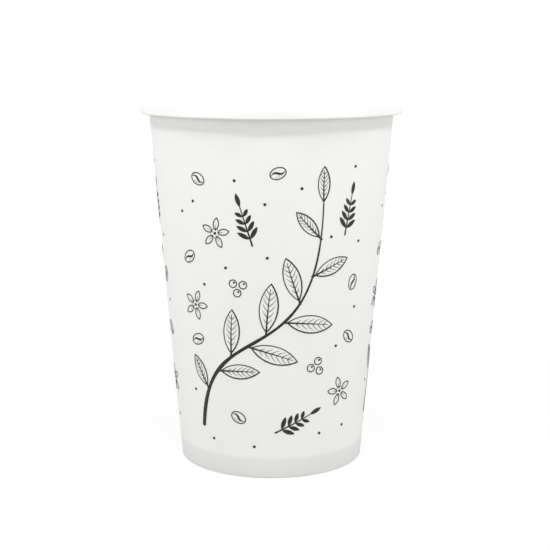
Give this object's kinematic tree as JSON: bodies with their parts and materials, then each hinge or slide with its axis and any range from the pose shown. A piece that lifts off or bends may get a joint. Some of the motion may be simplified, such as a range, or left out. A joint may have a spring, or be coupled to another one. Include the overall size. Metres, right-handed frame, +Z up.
{
  "type": "paper coffee cup",
  "caption": "White single-wall paper cup for hot drinks, with a rolled lip, a recessed bottom and a dark leaf and bean print.",
  "frame": {"origin": "centre of the foot, on the table", "axes": "+Z up along the cup's axis, -Y towards the front of the print, the wall's seam on +Y"},
  "size_m": [0.09, 0.09, 0.1245],
  "materials": {
    "wall_board": "satin",
    "bottom_board": "satin",
    "ink": "matte"
  },
  "bodies": {
    "root": {"side_wall": "wall_board", "bottom_disc": "bottom_board", "printed_pattern": "ink"}
  },
  "joints": []
}
